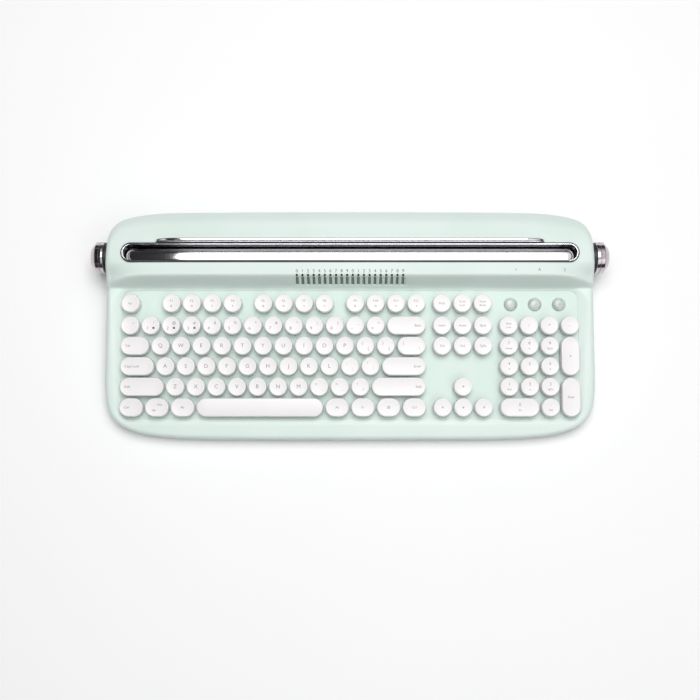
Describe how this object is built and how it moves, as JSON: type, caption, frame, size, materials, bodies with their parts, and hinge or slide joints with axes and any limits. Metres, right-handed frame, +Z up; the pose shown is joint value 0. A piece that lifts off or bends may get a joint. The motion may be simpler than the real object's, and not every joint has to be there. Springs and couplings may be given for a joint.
{
  "type": "retro keyboard",
  "caption": "Wireless computer keyboard in old typewriter style, with round keys, a tablet slot behind a chrome bar and a turning knob at each end.",
  "frame": {"origin": "on the surface the keyboard stands on, under the middle of its box", "axes": "+X to the typist's right, +Y away from the typist towards the hood, +Z up"},
  "size_m": [0.488, 0.2151, 0.056],
  "materials": {
    "mint_shell": "fine satin moulded plastic, pale mint",
    "ivory_key": "satin off-white keycap plastic",
    "chrome_trim": "bright plated",
    "black_plastic": "satin black",
    "frosted_lens": "frosted translucent",
    "circuit_board": "solder mask",
    "printed_film": "clear film with silver tracks",
    "silicone": "translucent silicone",
    "zinc_steel": "zinc plated",
    "cell_sleeve": "plain sleeve with steel ends",
    "foot_rubber": "matt",
    "lead_insulation": "insulation"
  },
  "bodies": {
    "case": {"top_case": "mint_shell", "bottom_case": "mint_shell", "key_deck": "mint_shell", "slot_tray": "chrome_trim", "paper_bar": "chrome_trim", "back_rest": "chrome_trim", "typebar_grille": "black_plastic", "indicator_lenses": "frosted_lens", "knob_collars": "black_plastic", "rotary_switches": "black_plastic", "controller_board": "circuit_board", "membrane": "printed_film", "dome_sheet": "silicone", "backing_plate": "zinc_steel", "battery_cells": "cell_sleeve", "battery_contacts": "zinc_steel", "rubber_feet": "foot_rubber", "case_screws": "zinc_steel", "wire_harness": "lead_insulation"},
    "key_q": {"key_q": "ivory_key"},
    "key_w": {"key_w": "ivory_key"},
    "key_e": {"key_e": "ivory_key"},
    "key_r": {"key_r": "ivory_key"},
    "key_t": {"key_t": "ivory_key"},
    "key_y": {"key_y": "ivory_key"},
    "key_u": {"key_u": "ivory_key"},
    "key_i": {"key_i": "ivory_key"},
    "key_o": {"key_o": "ivory_key"},
    "key_p": {"key_p": "ivory_key"},
    "key_a": {"key_a": "ivory_key"},
    "key_s": {"key_s": "ivory_key"},
    "key_d": {"key_d": "ivory_key"},
    "key_f": {"key_f": "ivory_key"},
    "key_g": {"key_g": "ivory_key"},
    "key_h": {"key_h": "ivory_key"},
    "key_j": {"key_j": "ivory_key"},
    "key_k": {"key_k": "ivory_key"},
    "key_l": {"key_l": "ivory_key"},
    "key_z": {"key_z": "ivory_key"},
    "key_x": {"key_x": "ivory_key"},
    "key_c": {"key_c": "ivory_key"},
    "key_v": {"key_v": "ivory_key"},
    "key_b": {"key_b": "ivory_key"},
    "key_n": {"key_n": "ivory_key"},
    "key_m": {"key_m": "ivory_key"},
    "space_bar": {"space_bar": "ivory_key"},
    "enter_key": {"enter_key": "ivory_key"},
    "backspace_key": {"backspace_key": "ivory_key"},
    "tab_key": {"tab_key": "ivory_key"},
    "caps_lock_key": {"caps_lock_key": "ivory_key"},
    "shift_keys": {"shift_keys": "ivory_key"},
    "number_keys": {"number_keys": "ivory_key"},
    "punctuation_keys": {"punctuation_keys": "ivory_key"},
    "function_keys": {"function_keys": "ivory_key"},
    "modifier_keys": {"modifier_keys": "ivory_key"},
    "navigation_keys": {"navigation_keys": "ivory_key"},
    "numpad_keys": {"numpad_keys": "ivory_key"},
    "left_knob": {"left_knob": "chrome_trim"},
    "right_knob": {"right_knob": "chrome_trim"},
    "battery_door": {"battery_door": "mint_shell"}
  },
  "joints": [
    {"name": "key_q_press", "type": "slide", "parent": "case", "child": "key_q", "axis": [0, 0.0872, -0.9962], "range_m": [0, 0.0035], "stiffness_N_per_m": 150, "springref_m": -0.0015, "deforming": ["dome_sheet"]},
    {"name": "key_w_press", "type": "slide", "parent": "case", "child": "key_w", "axis": [0, 0.0872, -0.9962], "range_m": [0, 0.0035], "stiffness_N_per_m": 150, "springref_m": -0.0015, "deforming": ["dome_sheet"]},
    {"name": "key_e_press", "type": "slide", "parent": "case", "child": "key_e", "axis": [0, 0.0872, -0.9962], "range_m": [0, 0.0035], "stiffness_N_per_m": 150, "springref_m": -0.0015, "deforming": ["dome_sheet"]},
    {"name": "key_r_press", "type": "slide", "parent": "case", "child": "key_r", "axis": [0, 0.0872, -0.9962], "range_m": [0, 0.0035], "stiffness_N_per_m": 150, "springref_m": -0.0015, "deforming": ["dome_sheet"]},
    {"name": "key_t_press", "type": "slide", "parent": "case", "child": "key_t", "axis": [0, 0.0872, -0.9962], "range_m": [0, 0.0035], "stiffness_N_per_m": 150, "springref_m": -0.0015, "deforming": ["dome_sheet"]},
    {"name": "key_y_press", "type": "slide", "parent": "case", "child": "key_y", "axis": [0, 0.0872, -0.9962], "range_m": [0, 0.0035], "stiffness_N_per_m": 150, "springref_m": -0.0015, "deforming": ["dome_sheet"]},
    {"name": "key_u_press", "type": "slide", "parent": "case", "child": "key_u", "axis": [0, 0.0872, -0.9962], "range_m": [0, 0.0035], "stiffness_N_per_m": 150, "springref_m": -0.0015, "deforming": ["dome_sheet"]},
    {"name": "key_i_press", "type": "slide", "parent": "case", "child": "key_i", "axis": [0, 0.0872, -0.9962], "range_m": [0, 0.0035], "stiffness_N_per_m": 150, "springref_m": -0.0015, "deforming": ["dome_sheet"]},
    {"name": "key_o_press", "type": "slide", "parent": "case", "child": "key_o", "axis": [0, 0.0872, -0.9962], "range_m": [0, 0.0035], "stiffness_N_per_m": 150, "springref_m": -0.0015, "deforming": ["dome_sheet"]},
    {"name": "key_p_press", "type": "slide", "parent": "case", "child": "key_p", "axis": [0, 0.0872, -0.9962], "range_m": [0, 0.0035], "stiffness_N_per_m": 150, "springref_m": -0.0015, "deforming": ["dome_sheet"]},
    {"name": "key_a_press", "type": "slide", "parent": "case", "child": "key_a", "axis": [0, 0.0872, -0.9962], "range_m": [0, 0.0035], "stiffness_N_per_m": 150, "springref_m": -0.0015, "deforming": ["dome_sheet"]},
    {"name": "key_s_press", "type": "slide", "parent": "case", "child": "key_s", "axis": [0, 0.0872, -0.9962], "range_m": [0, 0.0035], "stiffness_N_per_m": 150, "springref_m": -0.0015, "deforming": ["dome_sheet"]},
    {"name": "key_d_press", "type": "slide", "parent": "case", "child": "key_d", "axis": [0, 0.0872, -0.9962], "range_m": [0, 0.0035], "stiffness_N_per_m": 150, "springref_m": -0.0015, "deforming": ["dome_sheet"]},
    {"name": "key_f_press", "type": "slide", "parent": "case", "child": "key_f", "axis": [0, 0.0872, -0.9962], "range_m": [0, 0.0035], "stiffness_N_per_m": 150, "springref_m": -0.0015, "deforming": ["dome_sheet"]},
    {"name": "key_g_press", "type": "slide", "parent": "case", "child": "key_g", "axis": [0, 0.0872, -0.9962], "range_m": [0, 0.0035], "stiffness_N_per_m": 150, "springref_m": -0.0015, "deforming": ["dome_sheet"]},
    {"name": "key_h_press", "type": "slide", "parent": "case", "child": "key_h", "axis": [0, 0.0872, -0.9962], "range_m": [0, 0.0035], "stiffness_N_per_m": 150, "springref_m": -0.0015, "deforming": ["dome_sheet"]},
    {"name": "key_j_press", "type": "slide", "parent": "case", "child": "key_j", "axis": [0, 0.0872, -0.9962], "range_m": [0, 0.0035], "stiffness_N_per_m": 150, "springref_m": -0.0015, "deforming": ["dome_sheet"]},
    {"name": "key_k_press", "type": "slide", "parent": "case", "child": "key_k", "axis": [0, 0.0872, -0.9962], "range_m": [0, 0.0035], "stiffness_N_per_m": 150, "springref_m": -0.0015, "deforming": ["dome_sheet"]},
    {"name": "key_l_press", "type": "slide", "parent": "case", "child": "key_l", "axis": [0, 0.0872, -0.9962], "range_m": [0, 0.0035], "stiffness_N_per_m": 150, "springref_m": -0.0015, "deforming": ["dome_sheet"]},
    {"name": "key_z_press", "type": "slide", "parent": "case", "child": "key_z", "axis": [0, 0.0872, -0.9962], "range_m": [0, 0.0035], "stiffness_N_per_m": 150, "springref_m": -0.0015, "deforming": ["dome_sheet"]},
    {"name": "key_x_press", "type": "slide", "parent": "case", "child": "key_x", "axis": [0, 0.0872, -0.9962], "range_m": [0, 0.0035], "stiffness_N_per_m": 150, "springref_m": -0.0015, "deforming": ["dome_sheet"]},
    {"name": "key_c_press", "type": "slide", "parent": "case", "child": "key_c", "axis": [0, 0.0872, -0.9962], "range_m": [0, 0.0035], "stiffness_N_per_m": 150, "springref_m": -0.0015, "deforming": ["dome_sheet"]},
    {"name": "key_v_press", "type": "slide", "parent": "case", "child": "key_v", "axis": [0, 0.0872, -0.9962], "range_m": [0, 0.0035], "stiffness_N_per_m": 150, "springref_m": -0.0015, "deforming": ["dome_sheet"]},
    {"name": "key_b_press", "type": "slide", "parent": "case", "child": "key_b", "axis": [0, 0.0872, -0.9962], "range_m": [0, 0.0035], "stiffness_N_per_m": 150, "springref_m": -0.0015, "deforming": ["dome_sheet"]},
    {"name": "key_n_press", "type": "slide", "parent": "case", "child": "key_n", "axis": [0, 0.0872, -0.9962], "range_m": [0, 0.0035], "stiffness_N_per_m": 150, "springref_m": -0.0015, "deforming": ["dome_sheet"]},
    {"name": "key_m_press", "type": "slide", "parent": "case", "child": "key_m", "axis": [0, 0.0872, -0.9962], "range_m": [0, 0.0035], "stiffness_N_per_m": 150, "springref_m": -0.0015, "deforming": ["dome_sheet"]},
    {"name": "space_bar_press", "type": "slide", "parent": "case", "child": "space_bar", "axis": [0, 0.0872, -0.9962], "range_m": [0, 0.0035], "stiffness_N_per_m": 150, "springref_m": -0.0015, "deforming": ["dome_sheet"]},
    {"name": "enter_key_press", "type": "slide", "parent": "case", "child": "enter_key", "axis": [0, 0.0872, -0.9962], "range_m": [0, 0.0035], "stiffness_N_per_m": 150, "springref_m": -0.0015, "deforming": ["dome_sheet"]},
    {"name": "backspace_key_press", "type": "slide", "parent": "case", "child": "backspace_key", "axis": [0, 0.0872, -0.9962], "range_m": [0, 0.0035], "stiffness_N_per_m": 150, "springref_m": -0.0015, "deforming": ["dome_sheet"]},
    {"name": "tab_key_press", "type": "slide", "parent": "case", "child": "tab_key", "axis": [0, 0.0872, -0.9962], "range_m": [0, 0.0035], "stiffness_N_per_m": 150, "springref_m": -0.0015, "deforming": ["dome_sheet"]},
    {"name": "caps_lock_key_press", "type": "slide", "parent": "case", "child": "caps_lock_key", "axis": [0, 0.0872, -0.9962], "range_m": [0, 0.0035], "stiffness_N_per_m": 150, "springref_m": -0.0015, "deforming": ["dome_sheet"]},
    {"name": "shift_keys_press", "type": "slide", "parent": "case", "child": "shift_keys", "axis": [0, 0.0872, -0.9962], "range_m": [0, 0.0035], "stiffness_N_per_m": 300, "springref_m": -0.0015, "deforming": ["dome_sheet"]},
    {"name": "number_keys_press", "type": "slide", "parent": "case", "child": "number_keys", "axis": [0, 0.0872, -0.9962], "range_m": [0, 0.0035], "stiffness_N_per_m": 1950, "springref_m": -0.0015, "deforming": ["dome_sheet"]},
    {"name": "punctuation_keys_press", "type": "slide", "parent": "case", "child": "punctuation_keys", "axis": [0, 0.0872, -0.9962], "range_m": [0, 0.0035], "stiffness_N_per_m": 1200, "springref_m": -0.0015, "deforming": ["dome_sheet"]},
    {"name": "function_keys_press", "type": "slide", "parent": "case", "child": "function_keys", "axis": [0, 0.0872, -0.9962], "range_m": [0, 0.0035], "stiffness_N_per_m": 2400, "springref_m": -0.0015, "deforming": ["dome_sheet"]},
    {"name": "modifier_keys_press", "type": "slide", "parent": "case", "child": "modifier_keys", "axis": [0, 0.0872, -0.9962], "range_m": [0, 0.0035], "stiffness_N_per_m": 1050, "springref_m": -0.0015, "deforming": ["dome_sheet"]},
    {"name": "navigation_keys_press", "type": "slide", "parent": "case", "child": "navigation_keys", "axis": [0, 0.0872, -0.9962], "range_m": [0, 0.0035], "stiffness_N_per_m": 1500, "springref_m": -0.0015, "deforming": ["dome_sheet"]},
    {"name": "numpad_keys_press", "type": "slide", "parent": "case", "child": "numpad_keys", "axis": [0, 0.0872, -0.9962], "range_m": [0, 0.0035], "stiffness_N_per_m": 2550, "springref_m": -0.0015, "deforming": ["dome_sheet"]},
    {"name": "power_dial", "type": "hinge", "parent": "case", "child": "left_knob", "pos_m": [-0.236, 0.0634, 0.027], "axis": [-1, 0, 0], "range_deg": [0, 60]},
    {"name": "volume_dial", "type": "hinge", "parent": "case", "child": "right_knob", "pos_m": [0.236, 0.0634, 0.027], "axis": [1, 0, 0], "continuous": true},
    {"name": "battery_door_slide", "type": "slide", "parent": "case", "child": "battery_door", "axis": [1, 0, 0], "range_m": [0, 0.004]}
  ]
}
